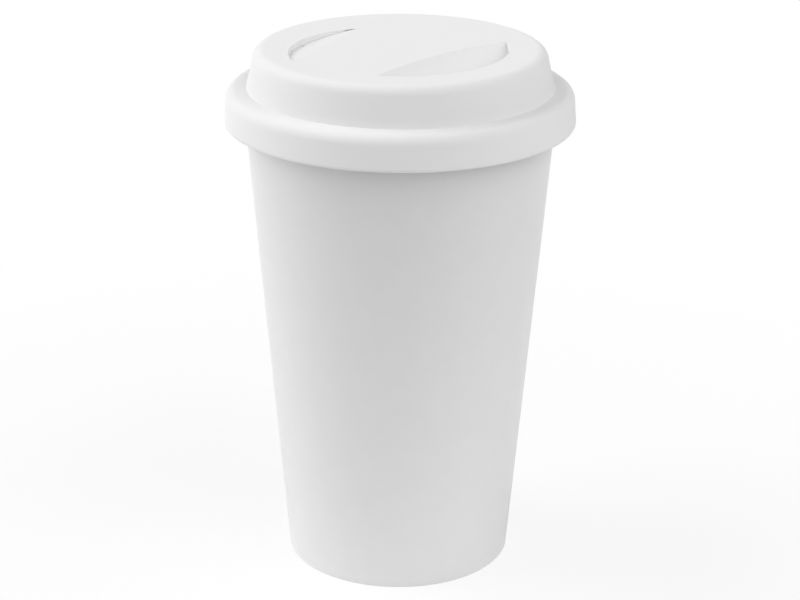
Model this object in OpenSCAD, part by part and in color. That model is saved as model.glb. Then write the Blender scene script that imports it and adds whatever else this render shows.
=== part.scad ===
// Lidded paper cup, in millimetres.
// The origin is the centre of the standing ring, +Z is up, the drinking side faces -Y
// and the glued side seam of the sheet is at +Y.

/* [Cup] */
// Height of the cup without its lid
cup_h = 135; // [110:1:150]
// Radius of the cup's outside at the standing ring
base_r = 31.5; // [29:0.5:33]
// Outer radius of the rolled rim
rim_r = 45; // [43:0.5:46]
// Thickness of the rolled sheet
sheet_t = 0.45; // [0.3:0.05:0.6]
// Radius of the round section of the rolled rim
curl_r = 1.3; // [1.1:0.1:1.5]
// How far round the rim's roll goes from the wall, in degrees
curl_turn = 300; // [250:5:310]
// Width of the strip where the sheet's two ends overlap
seam_w = 7; // [5:0.5:10]
// Radius of the outer corners of the fold at the wall's foot
fold_c = 0.4; // [0.2:0.05:0.5]

/* [Base] */
// Thickness of the base disc's board
base_t = 0.4; // [0.3:0.05:0.5]
// Height of the base disc's top over the standing ring
base_z = 8.6; // [8:0.2:12]
// Height of the wall's hem, folded up inside the base disc's skirt
hem_h = 7.2; // [5:0.2:7.2]
// Radius of the bend between the base disc and its skirt, on the outside
base_bend = 0.9; // [0.6:0.1:1]

/* [Lid] */
// How far the top of the lid's skirt stands out past the rim
skirt_out = 2.5; // [2.2:0.1:3]
// How far the skirt widens down to its lower edge
skirt_flare = 0.4; // [0.2:0.1:0.6]
// How far the skirt reaches down below the top of the rim
skirt_down = 8.1; // [7.6:0.1:9]
// Thickness of the moulded lid
lid_t = 1.2; // [1:0.1:1.4]
// Radius of the skirt's round lower edge
lip_r = 1; // [0.9:0.05:1.1]
// Radius of the round shoulder over the skirt
shoulder_r = 3; // [2.6:0.1:3.2]
// Height of the shoulder's inner edge over the rim, where the dome starts
shoulder_up = 1.8; // [1.6:0.1:2.2]
// How far the dome's foot lies inside the rim's outer edge
dome_in = 3.15; // [3:0.05:3.4]
// How far the dome narrows up to its top
dome_draft = 1.75; // [1.2:0.05:2.2]
// Height of the lid's top over the rim
dome_up = 12.4; // [11.8:0.1:14]
// Radius of the round edge of the dome's top
top_round = 3; // [2.4:0.1:3.2]
// Clearance between the rim's roll and the lid round it
rim_gap = 0.3; // [0.2:0.05:0.4]
// How far the snap bead reaches in under the rim's roll
bead_grip = 0.45; // [0.3:0.05:0.6]
// Depth of the plug ring under the seat
plug_h = 1.6; // [1.2:0.1:2]

/* [Lid top] */
// How far the drinking scoop's wall lies inside the dome's foot
scoop_in = 12.4; // [12.1:0.05:12.9]
// Distance from the axis to the crease where the drinking scoop starts
scoop_s = 12.9; // [11.5:0.1:14]
// Radius of the crease, seen from above
crease_r = 105; // [90:5:120]
// Slope of the scoop at the crease, in degrees
scoop_a = 32; // [26:1:34]
// Radius of the scoop's hollow section
scoop_r = 36; // [34:1:42]
// Length of the drinking hole
drink_l = 15; // [10:0.5:18]
// Width of the drinking hole
drink_w = 5; // [4.5:0.1:5.5]
// Distance from the scoop's wall to the drinking hole's middle
drink_in = 5.4; // [4.8:0.1:6]
// Radius of the wall of the shallow vent hollow, seen from above
vent_r = 27; // [25:0.5:28]
// How far the centre of the vent hollow's wall lies to the side of the axis
vent_side = 6; // [5:0.2:6.4]
// How far the centre of the vent hollow's wall lies towards the drinking side
vent_fwd = 1.6; // [1:0.2:2]
// Direction in which the vent hollow gets deeper, in degrees from the seam
vent_turn = 20; // [16:1:24]
// Slope of the vent hollow, in degrees
vent_a = 10; // [8:0.5:11]
// Distance from the axis to the line where the vent hollow starts
vent_s = 19.3; // [18.5:0.1:20.5]
// Diameter of the vent hole
vent_d = 1; // [0.8:0.1:1.2]
// Distance from the vent hollow's wall to the vent hole's middle
vent_in = 1.2; // [1:0.1:1.6]

/* [Hidden] */
$fn = 144;
// Centre of the rim's roll: the wall's inner face runs into the roll's outside
curl_c = [rim_r - curl_r, cup_h - curl_r];
// How far the wall's outside widens for each millimetre of height
flare = (curl_c.x - curl_r + sheet_t - base_r) / curl_c.y;
// Thickness of the folded hem: sheet, base skirt and sheet again
hem_t = 2 * sheet_t + base_t;
// Rise of the sheet's outer end over the seam, and the shift that gives it
seam_rise = 0.38;
seam_shift = seam_rise * wall_x(cup_h / 2, 0) / seam_w;
// The seam is pressed flat at the fold and under the rim's roll
seam_z0 = 1;
seam_z1 = cup_h - 2 * curl_r - 0.4;
// Heights of the lid: its lower edge, the dome's foot and its top
skirt_z = cup_h - skirt_down;
dome_z = cup_h + shoulder_up;
top_z = cup_h + dome_up;
// Radii of the lid: its skirt, the dome's foot and the drinking scoop's wall
skirt_r = rim_r + skirt_out;
dome_r = rim_r - dome_in;
hollow_r = dome_r - scoop_in;
// Centre of the vent hollow's wall
vent_c = [-vent_side, -vent_fwd];
// How far the shoulder falls from the dome's foot to its round edge
shoulder_drop = 0.2;
// Centres of the round corners of the lid's section
lip_c = [skirt_r + skirt_flare - lip_r, skirt_z + lip_r];
shoulder_c = [skirt_r - shoulder_r, dome_z - shoulder_drop - shoulder_r];
top_c = [dome_r - dome_draft - top_round, top_z - top_round];
// Radius of the space for the rim's roll in the lid
groove_r = rim_r + rim_gap;
// The snap bead under the rim's roll
bead_r = 1.2;
bead_c = [rim_r - bead_grip + bead_r, curl_c.y - 1.8];
// The plug ring fits inside the cup's mouth with the same clearance
plug_r = wall_x(cup_h - plug_h, sheet_t) - rim_gap;
// Far enough outside every part of the lid's top
far = 60;

// Distance from the axis to the wall's outside at height z, less a depth d into it
function wall_x(z, d) = base_r + flare * z - d;

// A point at distance r and angle a from point c
function polar(c, r, a) = [c.x + r * cos(a), c.y + r * sin(a)];

// Angle at which a straight side leaves circle c1 to touch circle c2, going upwards
function side_a(c1, r1, c2, r2) =
    atan2(c2.y - c1.y, c2.x - c1.x) - acos((r1 - r2) / norm(c2 - c1));

// A straight sheet along the wall, from depth d0 to depth d1 and from height z0 to z1
module wall_strip(d0, d1, z0, z1) {
    polygon([
        [wall_x(z0, d0), z0],
        [wall_x(z1, d0), z1],
        [wall_x(z1, d1), z1],
        [wall_x(z0, d1), z0]
    ]);
}

// Section of the rolled rim: a band round the roll's centre, open towards the wall
module curl_section() {
    open_a = 360 - curl_turn;
    translate(curl_c)
        difference() {
            circle(r = curl_r);
            circle(r = curl_r - sheet_t);
            polygon([
                [0, 0],
                polar([0, 0], 2 * curl_r, 180),
                polar([0, 0], 2 * curl_r, 180 + open_a / 2),
                polar([0, 0], 2 * curl_r, 180 + open_a)
            ]);
        }
}

// Section of the fold at the wall's foot: flat below, with round corners
module fold_section() {
    outer_x = wall_x(fold_c, fold_c);
    inner_x = wall_x(fold_c, hem_t - fold_c);
    intersection() {
        union() {
            translate([outer_x, fold_c])
                circle(r = fold_c);
            translate([inner_x, fold_c])
                circle(r = fold_c);
        }
        square([2 * base_r, fold_c]);
    }
    translate([inner_x, 0])
        square([outer_x - inner_x, sheet_t]);
}

// The outer end of the sheet laps over the inner end: a shifted copy of the wall's cone
// rises from nothing at one edge of the strip to its full thickness at the other, and
// nothing of it reaches deeper than the middle of the sheet
module seam_lap() {
    intersection() {
        translate([seam_shift, seam_rise / 2, 0])
            rotate_extrude()
                wall_strip(0, sheet_t, seam_z0, seam_z1);
        rotate_extrude()
            wall_strip(-sheet_t, sheet_t / 2, 0, cup_h);
        translate([-seam_w / 2, 0, 0])
            cube([seam_w, far, cup_h]);
    }
}

module cup_wall() {
    color("#f2f2f0")
        union() {
            rotate_extrude() {
                wall_strip(0, sheet_t, fold_c, curl_c.y);
                wall_strip(sheet_t + base_t, hem_t, fold_c, hem_h);
                fold_section();
                curl_section();
            }
            seam_lap();
        }
}

module base_disc() {
    bend_z = base_z - base_bend;
    bend_x = wall_x(bend_z, sheet_t) - base_bend;
    color("#f4f4f2")
        rotate_extrude() {
            wall_strip(sheet_t, sheet_t + base_t, sheet_t, bend_z);
            translate([0, base_z - base_t])
                square([bend_x, base_t]);
            translate([bend_x, bend_z])
                intersection() {
                    difference() {
                        circle(r = base_bend);
                        circle(r = base_bend - base_t);
                    }
                    square(2 * base_bend);
                }
        }
}

// Section of the lid's outside, filled to the axis
module lid_outside() {
    foot = [dome_r, dome_z];
    skirt_a = side_a(lip_c, lip_r, shoulder_c, shoulder_r);
    shoulder_a = side_a(shoulder_c, shoulder_r, foot, 0);
    dome_a = side_a(foot, 0, top_c, top_round);
    translate(lip_c)
        circle(r = lip_r);
    translate(shoulder_c)
        circle(r = shoulder_r);
    translate(top_c)
        circle(r = top_round);
    polygon([
        [0, skirt_z],
        [lip_c.x, skirt_z],
        lip_c,
        polar(lip_c, lip_r, skirt_a),
        polar(shoulder_c, shoulder_r, skirt_a),
        polar(shoulder_c, shoulder_r, shoulder_a),
        foot,
        polar(top_c, top_round, dome_a),
        [top_c.x, top_z],
        [0, top_z]
    ]);
}

// Section of the space inside the lid: the groove for the rim, the plug ring and the
// hollow of the dome
module lid_inside() {
    foot = [dome_r - lid_t, dome_z];
    inner_round = top_round - lid_t;
    dome_a = side_a(foot, 0, top_c, inner_round);
    difference() {
        union() {
            translate(top_c)
                circle(r = inner_round);
            polygon([
                [0, skirt_z - lip_r],
                [lip_c.x, skirt_z - lip_r],
                lip_c,
                [lip_c.x - lip_r, lip_c.y],
                [groove_r, bead_c.y],
                [groove_r, cup_h],
                [plug_r, cup_h],
                [plug_r, cup_h - plug_h],
                [plug_r - lid_t, cup_h - plug_h],
                foot,
                polar(top_c, inner_round, dome_a),
                [top_c.x, top_z - lid_t],
                [0, top_z - lid_t]
            ]);
        }
        translate(bead_c)
            circle(r = bead_r);
        translate(lip_c)
            circle(r = lip_r);
    }
}

// The drinking scoop: a hollow sweep round a far axis, kept inside the lid's flat rim
module scoop_cut(g) {
    axis_s = scoop_s + crease_r;
    intersection() {
        translate([0, -axis_s, 0])
            rotate_extrude()
                intersection() {
                    translate(polar([crease_r, top_z], scoop_r, 90 + scoop_a))
                        circle(r = scoop_r + g, $fn = 720);
                    translate([axis_s - far, top_z - far])
                        square([2 * far, far + 1]);
                }
        cylinder(r = hollow_r + g, h = 2 * top_z);
    }
}

// The vent hollow: a plane that slopes down to a round wall at the back of the lid's top
module vent_cut(g) {
    intersection() {
        rotate(vent_turn)
            translate([0, vent_s, top_z])
                rotate([-vent_a, 0, 0])
                    translate([-far, -far, -g])
                        cube([2 * far, 2 * far, far]);
        translate(vent_c)
            cylinder(r = vent_r + g, h = 2 * top_z);
    }
}

// The two hollows in the lid's top, grown by g to leave the wall under them
module hollows(g) {
    scoop_cut(g);
    vent_cut(g);
}

// The drinking hole, a slot with round ends
module drinking_hole() {
    run = (drink_l - drink_w) / 2;
    translate([0, drink_in - hollow_r, dome_z]) {
        for (side = [-1, 1])
            translate([side * run, 0, 0])
                cylinder(d = drink_w, h = far);
        translate([-run, -drink_w / 2, 0])
            cube([2 * run, drink_w, far]);
    }
}

// The vent hole, at the deepest place of the vent hollow
module vent_hole() {
    translate(vent_c)
        rotate(vent_turn)
            translate([0, vent_r - vent_in, dome_z])
                cylinder(d = vent_d, h = far);
}

module lid() {
    color("#fafaf8")
        difference() {
            rotate_extrude()
                lid_outside();
            difference() {
                rotate_extrude()
                    lid_inside();
                hollows(lid_t);
            }
            hollows(0);
            drinking_hole();
            vent_hole();
        }
}

cup_wall();
base_disc();
lid();
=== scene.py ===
# %% [markdown]
# # A takeaway paper cup with a moulded sip lid
#
# The cup is a tall tapered wall of white coated paperboard, rolled outwards at the rim and
# folded in at the foot, with a round disc of the same board for a base. A moulded white
# lid snaps over the rim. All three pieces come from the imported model, in metres, with the
# cup standing on the origin and its drinking side towards -Y.
#
# This file gives them their finish, puts them on a pale floor under plain light and sets
# the camera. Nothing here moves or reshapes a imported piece.

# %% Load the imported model
import math

import bpy
from mathutils import Matrix, Vector


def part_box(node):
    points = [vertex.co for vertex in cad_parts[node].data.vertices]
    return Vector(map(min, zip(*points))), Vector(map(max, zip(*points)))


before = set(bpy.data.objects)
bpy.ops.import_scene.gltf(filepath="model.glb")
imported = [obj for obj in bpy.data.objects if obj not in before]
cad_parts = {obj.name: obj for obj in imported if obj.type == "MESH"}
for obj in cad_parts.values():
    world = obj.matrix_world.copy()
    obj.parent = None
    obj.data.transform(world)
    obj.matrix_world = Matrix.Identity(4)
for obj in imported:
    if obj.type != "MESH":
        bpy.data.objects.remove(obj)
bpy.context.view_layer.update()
print("packed pieces:", sorted(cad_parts))

# %% [markdown]
# ## The real size
#
# A finish only looks right when its grain has the right size next to the piece that wears
# it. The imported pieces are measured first, and every pattern below is given in
# millimetres, so that the two can be compared. One helper turns millimetres into
# Blender's metres, and another prints metres as millimetres.

# %% Measure the pieces


def mm(length):
    """A length in millimetres as metres."""
    return length / 1000


def in_mm(length):
    """A length in metres as text in millimetres."""
    return f"{length * 1000:.1f} mm"


wall_low, wall_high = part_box("cup_wall")
lid_low, lid_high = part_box("lid")
print("cup:", in_mm(wall_high.z - wall_low.z), "tall")
print("rim:", in_mm(wall_high.x - wall_low.x), "across")
print("lid:", in_mm(lid_high.x - lid_low.x), "across, with its top at", in_mm(lid_high.z))

# %% [markdown]
# ## Colours and nodes
#
# Colours are written as sRGB hex values, the numbers a paint chart gives, and shaders
# want linear light, so one function turns one into the other. A second small function
# adds a shader node with its settings and its links in one go, which keeps each material
# below short enough to read as a recipe.
#
# Noise textures give numbers between 0 and 1, but nearly all of them lie in the middle of
# that span. Where noise is to drive a value from one end of a range to the other, that
# middle span is what gets stretched.

# %% Colour and node helpers


def linear(hex_colour):
    """An sRGB hex colour such as '#E6E6E6' as linear red, green, blue and alpha."""
    channels = [int(hex_colour[i:i + 2], 16) / 255 for i in (1, 3, 5)]
    light = [c / 12.92 if c <= 0.04045 else ((c + 0.055) / 1.055) ** 2.4 for c in channels]
    return (*light, 1.0)


def add_node(tree, kind, inputs=None, **settings):
    """Adds a shader node, sets its properties, and gives each input a value or a link."""
    node = tree.nodes.new(kind)
    for name, value in settings.items():
        setattr(node, name, value)
    for name, value in (inputs or {}).items():
        if isinstance(value, bpy.types.NodeSocket):
            tree.links.new(value, node.inputs[name])
        else:
            node.inputs[name].default_value = value
    return node


def new_material(name):
    """An empty node material, its node tree and its output node."""
    material = bpy.data.materials.new(name)
    material.use_nodes = True
    material.node_tree.nodes.clear()
    output = add_node(material.node_tree, "ShaderNodeOutputMaterial")
    return material, material.node_tree, output


def dress(node_name, material):
    """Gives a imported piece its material."""
    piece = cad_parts[node_name]
    piece.data.materials.clear()
    piece.data.materials.append(material)
    print(node_name, "wears", material.name)


noise_low = 0.3
noise_high = 0.7
pure_white = linear("#FFFFFF")
print("the middle grey #808080 is", round(linear("#808080")[0], 3), "in linear light")

# %% [markdown]
# ## Coated paperboard
#
# The wall and the base are solid bleached paperboard with a thin clear coating on both
# faces. The board is made wet from short fibres and pressed between rollers, so it is
# almost smooth, with a faint cloudiness a few millimetres across where the fibres lie
# thicker. The coating gives it a soft satin sheen. The cloudiness is drawn as a very
# small change of colour here, and of gloss further down.

# %% Board with its clouds
board_white = "#E6E6E6"
board_cloud = "#E2E2E2"
cloud_size = mm(6)
cloud_detail = 3.0
cloud_raggedness = 0.6

board, tree, output = new_material("coated_paperboard")
place = add_node(tree, "ShaderNodeTexCoord")
clouds = add_node(tree, "ShaderNodeTexNoise", {
    "Vector": place.outputs["Object"],
    "Scale": 1 / cloud_size,
    "Detail": cloud_detail,
    "Roughness": cloud_raggedness,
})
tint = add_node(tree, "ShaderNodeMix", {
    "Factor": clouds.outputs["Fac"],
    6: linear(board_white),
    7: linear(board_cloud),
}, data_type="RGBA")
print("board clouds:", in_mm(cloud_size), "across")

# %% [markdown]
# ### The cut edge
#
# The coating covers the board's faces but not its cut edges. One cut edge can be seen, up
# the back of the cup, where the outer end of the sheet laps over the inner one. It is
# uncoated pulp, a little darker and warmer, and rough. A mask finds it by its place: a
# very narrow strip at half the seam's width from the middle, on the back only.

# %% Cut edge of the board
pulp = "#CDCAC3"
half_seam = mm(3.5)
edge_reach = mm(0.1)

axes = add_node(tree, "ShaderNodeSeparateXYZ", {0: place.outputs["Object"]})
near_edge = add_node(tree, "ShaderNodeMath", {
    0: axes.outputs["X"],
    1: half_seam,
    2: edge_reach,
}, operation="COMPARE")
at_back = add_node(tree, "ShaderNodeMath", {0: axes.outputs["Y"], 1: 0.0},
                   operation="GREATER_THAN")
on_edge = add_node(tree, "ShaderNodeMath", {
    0: near_edge.outputs[0],
    1: at_back.outputs[0],
}, operation="MULTIPLY")
colour = add_node(tree, "ShaderNodeMix", {
    "Factor": on_edge.outputs[0],
    6: tint.outputs[2],
    7: linear(pulp),
}, data_type="RGBA")
print("cut edge:", in_mm(half_seam), "beside the middle of the seam")

# %% [markdown]
# ### Gloss and fibres
#
# The coating is a little smoother on some clouds than on others, and the pulp of the cut
# edge is as rough as can be. The fibres under the coating are drawn as a very shallow
# bump. They lie mostly the way the board ran through the mill, which is up and down on a
# cup, so their pattern is stretched in height. Real fibres are thinner than a hair; they
# are drawn some 0.4 mm wide, so that they show at all.

# %% Board gloss and fibres
board_smooth = 0.3
board_dull = 0.38
fibre_width = mm(0.4)
fibre_length = mm(1.6)
fibre_detail = 4.0
fibre_raggedness = 0.65
fibre_strength = 0.12
fibre_relief = mm(0.05)

gloss = add_node(tree, "ShaderNodeMapRange", {
    "Value": clouds.outputs["Fac"],
    "From Min": noise_low,
    "From Max": noise_high,
    "To Min": board_smooth,
    "To Max": board_dull,
})
rough_edge = add_node(tree, "ShaderNodeMath", {
    0: gloss.outputs["Result"],
    1: on_edge.outputs[0],
}, operation="MAXIMUM")
stretched = add_node(tree, "ShaderNodeMapping", {
    "Vector": place.outputs["Object"],
    "Scale": (1 / fibre_width, 1 / fibre_width, 1 / fibre_length),
})
fibres = add_node(tree, "ShaderNodeTexNoise", {
    "Vector": stretched.outputs["Vector"],
    "Scale": 1.0,
    "Detail": fibre_detail,
    "Roughness": fibre_raggedness,
})
surface = add_node(tree, "ShaderNodeBump", {
    "Height": fibres.outputs["Fac"],
    "Strength": fibre_strength,
    "Distance": fibre_relief,
})
print("fibres:", in_mm(fibre_width), "wide and", in_mm(fibre_length), "long")

# %% Board shader
coating_ior = 1.48

coat = add_node(tree, "ShaderNodeBsdfPrincipled", {
    "Base Color": colour.outputs[2],
    "Roughness": rough_edge.outputs[0],
    "IOR": coating_ior,
    "Normal": surface.outputs["Normal"],
})
tree.links.new(coat.outputs["BSDF"], output.inputs["Surface"])
print("made", board.name)

# %% [markdown]
# ## Moulded lid
#
# The lid is white polypropylene, moulded in a tool with a finely spark-eroded face. That
# gives an even matt face with no grain to see from a step away, and a faint drift of
# gloss a centimetre or so across, where the plastic cooled a little sooner.

# %% Lid gloss and grain
lid_smooth = 0.76
lid_dull = 0.84
cooling_size = mm(14)
cooling_detail = 1.0
spark_size = mm(0.5)
spark_detail = 2.0
spark_raggedness = 0.5

plastic, tree, output = new_material("moulded_polypropylene")
place = add_node(tree, "ShaderNodeTexCoord")
spark = add_node(tree, "ShaderNodeTexNoise", {
    "Vector": place.outputs["Object"],
    "Scale": 1 / spark_size,
    "Detail": spark_detail,
    "Roughness": spark_raggedness,
})
cooling = add_node(tree, "ShaderNodeTexNoise", {
    "Vector": place.outputs["Object"],
    "Scale": 1 / cooling_size,
    "Detail": cooling_detail,
})
gloss = add_node(tree, "ShaderNodeMapRange", {
    "Value": cooling.outputs["Fac"],
    "From Min": noise_low,
    "From Max": noise_high,
    "To Min": lid_smooth,
    "To Max": lid_dull,
})
print("spark grain:", in_mm(spark_size), "and gloss drift:", in_mm(cooling_size))

# %% [markdown]
# ### Where the vent hollow starts
#
# The lid's top has two hollows. The floor of the shallow one at the back, the vent hollow,
# starts in a soft fold along a straight line. The next cell finds that line by its place:
# the hollow lies turned from the seam, and its floor starts at a known distance from the
# lid's axis. Near the line the radius for rounding the shading grows from that of a
# moulded corner to that of a soft fold. A second mask keeps this to the lid's flat top,
# because the line runs on over the lid's round edge.

# %% Radius of corners and fold
corner_radius = mm(0.35)
fold_radius = mm(4)
fold_width = mm(3)
vent_turn = math.radians(20)
vent_start = mm(19.3)
flat_top = mm(34)

turned = add_node(tree, "ShaderNodeMapping", {
    "Vector": place.outputs["Object"],
    "Rotation": (0, 0, -vent_turn),
})
axes = add_node(tree, "ShaderNodeSeparateXYZ", {0: turned.outputs["Vector"]})
beyond = add_node(tree, "ShaderNodeMath", {0: axes.outputs["Y"], 1: vent_start},
                  operation="SUBTRACT")
off_fold = add_node(tree, "ShaderNodeMath", {0: beyond.outputs[0]}, operation="ABSOLUTE")
softened = add_node(tree, "ShaderNodeMapRange", {
    "Value": off_fold.outputs[0],
    "From Min": 0.0,
    "From Max": fold_width,
    "To Min": fold_radius,
    "To Max": corner_radius,
})
level = add_node(tree, "ShaderNodeCombineXYZ", {
    "X": axes.outputs["X"],
    "Y": axes.outputs["Y"],
})
from_axis = add_node(tree, "ShaderNodeVectorMath", {0: level.outputs["Vector"]},
                     operation="LENGTH")
on_top = add_node(tree, "ShaderNodeMath", {0: from_axis.outputs["Value"], 1: flat_top},
                  operation="LESS_THAN")
radius = add_node(tree, "ShaderNodeMix", {
    "Factor": on_top.outputs[0],
    2: corner_radius,
    3: softened.outputs["Result"],
})
print("corners:", in_mm(corner_radius), "and the vent hollow's fold:", in_mm(fold_radius))

# %% [markdown]
# ### Corners
#
# The tool's corners are never perfectly sharp, so a Bevel node rounds the shading at the
# edges of the two hollows, and the grain is laid over that as a very shallow bump.
# Shade is also painted into the corners. An Ambient Occlusion node tells how open
# the space over a point is, counting the lid alone, and the white goes over to a slightly
# greyer one, a painted shade, where it is closed in.

# %% Rounded corners and painted corner shade
lid_white = "#F0F0F0"
# painted shade: this greyer white stands for the shade in the lid's hollows and creases, not a
# colour of the plastic
painted_corner_shade = "#E2E2E2"
painted_shade_reach = mm(9)
spark_strength = 0.06
spark_relief = mm(0.03)
rays_per_point = 16

corners = add_node(tree, "ShaderNodeBevel", {"Radius": radius.outputs[0]},
                   samples=rays_per_point)
surface = add_node(tree, "ShaderNodeBump", {
    "Height": spark.outputs["Fac"],
    "Strength": spark_strength,
    "Distance": spark_relief,
    "Normal": corners.outputs["Normal"],
})
# painted shade: how closed in a point is mixes the white towards the painted corner shade
openness = add_node(tree, "ShaderNodeAmbientOcclusion", {"Distance": painted_shade_reach},
                    samples=rays_per_point, only_local=True)
tint = add_node(tree, "ShaderNodeMix", {
    "Factor": openness.outputs["AO"],
    6: linear(painted_corner_shade),
    7: linear(lid_white),
}, data_type="RGBA")
print("corners are greyer over", in_mm(painted_shade_reach))

# %% Lid shader
plastic_ior = 1.49

matt_face = add_node(tree, "ShaderNodeBsdfPrincipled", {
    "Base Color": tint.outputs[2],
    "Roughness": gloss.outputs["Result"],
    "IOR": plastic_ior,
    "Normal": surface.outputs["Normal"],
})
tree.links.new(matt_face.outputs["BSDF"], output.inputs["Surface"])
print("made", plastic.name)

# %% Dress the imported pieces
dress("cup_wall", board)
dress("base_disc", board)
dress("lid", plastic)

# %% [markdown]
# ## Floor
#
# The cup stands on a round sheet of the palest matt card. The card sends light back up, so
# the foot of the cup is a little brighter than its shoulder, and because the sheet is not
# endless this falls off with height, as it does in the photograph.

# %% Floor
floor_radius = mm(300)
floor_sides = 96

bpy.ops.object.select_all(action="DESELECT")
bpy.ops.mesh.primitive_circle_add(
    vertices=floor_sides, radius=floor_radius, fill_type="NGON", location=(0, 0, wall_low.z)
)
floor = bpy.context.object
floor.name = "floor"
print("floor:", in_mm(2 * floor_radius), "across")

# %% [markdown]
# ### Card that melts into white
#
# To the camera the card is mixed with plain white, more and more towards its rim, so its
# edge melts into the background while the cup's soft shadow stays. All other rays meet
# the card itself, so it lights the cup as real card would.

# %% Matt card
floor_white = "#F9F9F9"
white_near_cup = 0.8
white_at_rim = 1.0
fade_start = mm(90)
fade_end = mm(270)
white_level = 1.0

card, tree, output = new_material("matt_white_card")
ray = add_node(tree, "ShaderNodeLightPath")
place = add_node(tree, "ShaderNodeTexCoord")
from_cup = add_node(tree, "ShaderNodeVectorMath", {0: place.outputs["Object"]},
                    operation="LENGTH")
fade = add_node(tree, "ShaderNodeMapRange", {
    "Value": from_cup.outputs["Value"],
    "From Min": fade_start,
    "From Max": fade_end,
    "To Min": white_near_cup,
    "To Max": white_at_rim,
})
share = add_node(tree, "ShaderNodeMath", {
    0: ray.outputs["Is Camera Ray"],
    1: fade.outputs["Result"],
}, operation="MULTIPLY")
matt = add_node(tree, "ShaderNodeBsdfDiffuse", {"Color": linear(floor_white)})
plain = add_node(tree, "ShaderNodeEmission", {"Color": pure_white, "Strength": white_level})
faded = add_node(tree, "ShaderNodeMixShader", {
    0: share.outputs[0],
    1: matt.outputs["BSDF"],
    2: plain.outputs["Emission"],
})
tree.links.new(faded.outputs[0], output.inputs["Surface"])
floor.data.materials.append(card)
print("floor wears", card.name)

# %% [markdown]
# ## Camera
#
# The photograph looks down on the cup from some 0.66 m away with a long lens. The camera
# is placed by its distance from the cup's axis, its height and the angle that it looks
# down at. The drinking side is turned to the right of the picture, so the camera stands
# to one side of -Y.

# %% Camera
view_turn = math.radians(-45.8)
camera_back = mm(591.5)
camera_height = mm(301.9)
camera_aside = mm(0.2)
look_down = math.radians(21.05)
tilt = math.radians(0.3)
focal_length = 101.25
sensor_width = 36

camera_data = bpy.data.cameras.new("camera")
camera_data.lens = focal_length
camera_data.sensor_width = sensor_width
camera = bpy.data.objects.new("camera", camera_data)
bpy.context.scene.collection.objects.link(camera)
around_cup = Matrix.Rotation(view_turn, 4, "Z")
stand = Matrix.Translation((camera_aside, -camera_back, camera_height))
aim = Matrix.Rotation(math.pi / 2 - look_down, 4, "X") @ Matrix.Rotation(tilt, 4, "Z")
camera.matrix_world = around_cup @ stand @ aim
bpy.context.scene.camera = camera
print("camera at", [in_mm(v) for v in camera.matrix_world.translation])

# %% [markdown]
# ## Light
#
# The photograph is lit softly from both sides and above, stronger from the left, with the
# front in a mild shade. Three wide suns give that: a key from the left, a low one under
# it that lifts the left of the skirt and the wall, and a fill from the right. Each has a
# direction relative to the camera and a large angle, which makes its shadow soft.

# %% Suns
sun_width = math.radians(60)


def add_sun(name, azimuth, height, strength):
    """A soft sun; azimuth 0 shines from behind the camera and 90 from its right."""
    data = bpy.data.lights.new(name, "SUN")
    data.energy = strength
    data.angle = sun_width
    sun = bpy.data.objects.new(name, data)
    bpy.context.scene.collection.objects.link(sun)
    around = view_turn + math.radians(azimuth)
    up = math.radians(height)
    towards = Vector((
        math.sin(around) * math.cos(up),
        -math.cos(around) * math.cos(up),
        math.sin(up),
    ))
    sun.rotation_euler = towards.to_track_quat("Z", "Y").to_euler()
    print(name, "from azimuth", azimuth, "height", height, "strength", strength)


add_sun("key", azimuth=-100, height=37, strength=1.68)
add_sun("low_key", azimuth=-90, height=10, strength=0.72)
add_sun("fill", azimuth=54, height=37, strength=1.58)

# %% [markdown]
# ### Sky
#
# The sky is an even white. For the light that falls on the cup it is dim, so that it only
# opens the shades, and to the camera, in reflections and through clear things it is plain
# white. The view is set to Standard, in which a colour comes out as it is written.

# %% Sky
sky_level = 0.265

world = bpy.data.worlds.new("studio")
bpy.context.scene.world = world
world.use_nodes = True
tree = world.node_tree
tree.nodes.clear()
ray = add_node(tree, "ShaderNodeLightPath")
seen_or_mirrored = add_node(tree, "ShaderNodeMath", {
    0: ray.outputs["Is Camera Ray"],
    1: ray.outputs["Is Glossy Ray"],
}, operation="MAXIMUM")
in_sight = add_node(tree, "ShaderNodeMath", {
    0: seen_or_mirrored.outputs[0],
    1: ray.outputs["Is Transmission Ray"],
}, operation="MAXIMUM")
sky = add_node(tree, "ShaderNodeBackground", {"Color": pure_white, "Strength": sky_level})
backdrop = add_node(tree, "ShaderNodeBackground", {"Color": pure_white, "Strength": white_level})
mixed = add_node(tree, "ShaderNodeMixShader", {
    0: in_sight.outputs[0],
    1: sky.outputs[0],
    2: backdrop.outputs[0],
})
add_node(tree, "ShaderNodeOutputWorld", {"Surface": mixed.outputs[0]})
bpy.context.scene.view_settings.view_transform = "Standard"
print("sky at", sky_level, "for light and", white_level, "for the camera")
